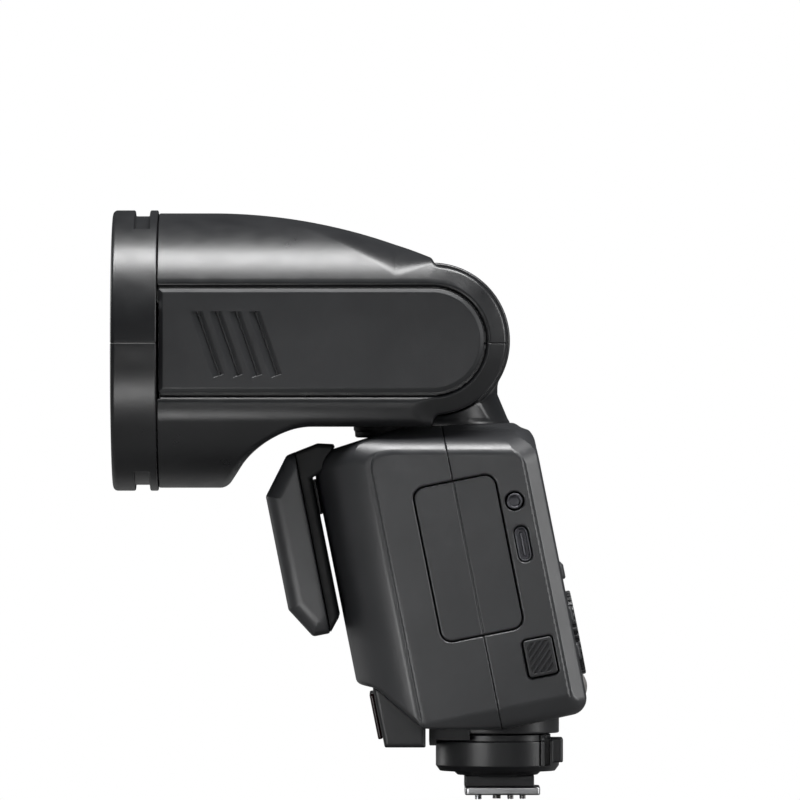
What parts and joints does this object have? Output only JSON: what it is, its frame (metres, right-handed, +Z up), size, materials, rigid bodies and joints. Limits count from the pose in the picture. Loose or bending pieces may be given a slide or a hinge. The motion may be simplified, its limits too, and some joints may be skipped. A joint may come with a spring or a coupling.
{
  "type": "speedlight flash",
  "caption": "Camera-mounted flash unit with a round tilting and swivelling lamp head, a removable side battery, a locking foot and a small detachable front flash.",
  "frame": {"origin": "centre of the foot plate's underside, on the swivelling unit's centre plane", "axes": "+Z up, the lamp looks along -Y at rest, +X is the battery side"},
  "size_m": [0.076, 0.1286, 0.1596],
  "materials": {
    "casing_plastic": "fine moulded texture, satin black",
    "ring_plastic": "satin black",
    "panel_plastic": "smooth satin charcoal",
    "battery_plastic": "satin charcoal",
    "cover_plastic": "dull black",
    "key_plastic": "soft satin black",
    "dial_plastic": "satin black with knurled edge",
    "lock_plastic": "satin black",
    "frosted_lens": "frosted",
    "test_lamp": "translucent red",
    "sensor_dark": "gloss dark red",
    "display_glass": "gloss",
    "display_face": "flat",
    "reflector_metal": "mirror",
    "tube_glass": "clear",
    "internal_plastic": "plain",
    "bush_plastic": "natural acetal",
    "board": "circuit board",
    "steel": "machined",
    "foot_metal": "bright",
    "gold_contact": "polished",
    "cell_wrap": "shrink wrap",
    "capacitor_wrap": "shrink wrap"
  },
  "bodies": {
    "body": {"body_shell_front": "casing_plastic", "body_shell_rear": "casing_plastic", "battery_bay": "internal_plastic", "sync_jack": "steel", "usb_socket": "steel", "display_window": "display_glass", "display_panel": "display_face", "main_board": "board", "flash_capacitor": "capacitor_wrap", "body_screws": "steel", "chin_cover": "casing_plastic", "sensor_window": "sensor_dark", "base_boss": "casing_plastic", "foot_block": "casing_plastic", "foot_plate": "foot_metal", "contact_pins": "gold_contact", "pin_spring": "steel", "sub_flash_rail": "cover_plastic"},
    "neck": {"neck": "casing_plastic", "tilt_axle": "steel", "swivel_retaining_ring": "steel"},
    "head": {"head_shell_upper": "casing_plastic", "head_shell_lower": "casing_plastic", "side_panel_left": "panel_plastic", "side_panel_right": "panel_plastic", "front_ring_upper": "ring_plastic", "front_ring_lower": "ring_plastic", "front_lens": "frosted_lens", "accessory_magnets": "steel", "modelling_light_board": "board", "zoom_guide_rods": "steel", "zoom_lead_screw": "gold_contact", "zoom_motor": "steel", "head_screws": "steel", "tilt_bushes": "bush_plastic"},
    "zoom": {"zoom_carriage": "internal_plastic", "reflector": "reflector_metal", "flash_tube": "tube_glass"},
    "battery": {"battery_case": "battery_plastic", "battery_cells": "cell_wrap"},
    "release": {"battery_release": "battery_plastic"},
    "dial": {"control_dial": "dial_plastic"},
    "set": {"set_key": "key_plastic"},
    "switch": {"power_switch": "key_plastic"},
    "test": {"test_key": "test_lamp"},
    "lock": {"lock_ring": "lock_plastic"},
    "pin": {"locking_pin": "steel"},
    "sub_flash": {"sub_flash_shell": "casing_plastic", "sub_flash_cover": "cover_plastic", "sub_flash_window": "frosted_lens", "sub_flash_reflector": "reflector_metal", "sub_flash_tube": "tube_glass"},
    "function_key_1": {"function_key_1": "key_plastic"},
    "function_key_2": {"function_key_2": "key_plastic"},
    "function_key_3": {"function_key_3": "key_plastic"},
    "function_key_4": {"function_key_4": "key_plastic"},
    "upper_left_key": {"upper_left_key": "key_plastic"},
    "lower_left_key": {"lower_left_key": "key_plastic"},
    "upper_right_key": {"upper_right_key": "key_plastic"},
    "lower_right_key": {"lower_right_key": "key_plastic"}
  },
  "joints": [
    {"name": "head_swivel", "type": "hinge", "parent": "body", "child": "neck", "pos_m": [0, -0.0182, 0.1], "axis": [0, 0, 1], "range_deg": [0, 330]},
    {"name": "head_tilt", "type": "hinge", "parent": "neck", "child": "head", "pos_m": [0, -0.0182, 0.1228], "axis": [-1, 0, 0], "range_deg": [-7, 120]},
    {"name": "zoom_slide", "type": "slide", "parent": "head", "child": "zoom", "axis": [0, 1, 0], "range_m": [0, 0.014]},
    {"name": "battery_slide", "type": "slide", "parent": "body", "child": "battery", "axis": [1, 0, 0], "range_m": [0, 0.07]},
    {"name": "battery_release_press", "type": "slide", "parent": "body", "child": "release", "axis": [-1, 0, 0], "range_m": [0, 0.0015]},
    {"name": "lock_ring_turn", "type": "hinge", "parent": "body", "child": "lock", "pos_m": [0, -0.0004, 0.01], "axis": [0, 0, 1], "range_deg": [0, 75]},
    {"name": "locking_pin_slide", "type": "slide", "parent": "body", "child": "pin", "axis": [0, 0, 1], "range_m": [0, 0.0017], "deforming": ["pin_spring"]},
    {"name": "control_dial_turn", "type": "hinge", "parent": "body", "child": "dial", "pos_m": [0, 0.01997, 0.04368], "axis": [0, 0.9806, 0.1959], "continuous": true},
    {"name": "set_key_press", "type": "slide", "parent": "body", "child": "set", "axis": [0, -0.9806, -0.1959], "range_m": [0, 0.0006]},
    {"name": "power_switch_slide", "type": "slide", "parent": "body", "child": "switch", "axis": [1, 0, 0], "range_m": [0, 0.0044]},
    {"name": "test_key_press", "type": "slide", "parent": "body", "child": "test", "axis": [0, -0.9806, -0.1959], "range_m": [0, 0.0006]},
    {"name": "sub_flash_slide", "type": "slide", "parent": "body", "child": "sub_flash", "axis": [0, -0.1959, 0.9806], "range_m": [0, 0.0035]},
    {"name": "function_key_1_press", "type": "slide", "parent": "body", "child": "function_key_1", "axis": [0, -0.9806, -0.1959], "range_m": [0, 0.0006]},
    {"name": "function_key_2_press", "type": "slide", "parent": "body", "child": "function_key_2", "axis": [0, -0.9806, -0.1959], "range_m": [0, 0.0006]},
    {"name": "function_key_3_press", "type": "slide", "parent": "body", "child": "function_key_3", "axis": [0, -0.9806, -0.1959], "range_m": [0, 0.0006]},
    {"name": "function_key_4_press", "type": "slide", "parent": "body", "child": "function_key_4", "axis": [0, -0.9806, -0.1959], "range_m": [0, 0.0006]},
    {"name": "upper_left_key_press", "type": "slide", "parent": "body", "child": "upper_left_key", "axis": [0, -0.9806, -0.1959], "range_m": [0, 0.0006]},
    {"name": "lower_left_key_press", "type": "slide", "parent": "body", "child": "lower_left_key", "axis": [0, -0.9806, -0.1959], "range_m": [0, 0.0006]},
    {"name": "upper_right_key_press", "type": "slide", "parent": "body", "child": "upper_right_key", "axis": [0, -0.9806, -0.1959], "range_m": [0, 0.0006]},
    {"name": "lower_right_key_press", "type": "slide", "parent": "body", "child": "lower_right_key", "axis": [0, -0.9806, -0.1959], "range_m": [0, 0.0006]}
  ],
  "couplings": [
    {"joint": "locking_pin_slide", "follows": "lock_ring_turn", "m_per_rad": 0.0012223}
  ]
}
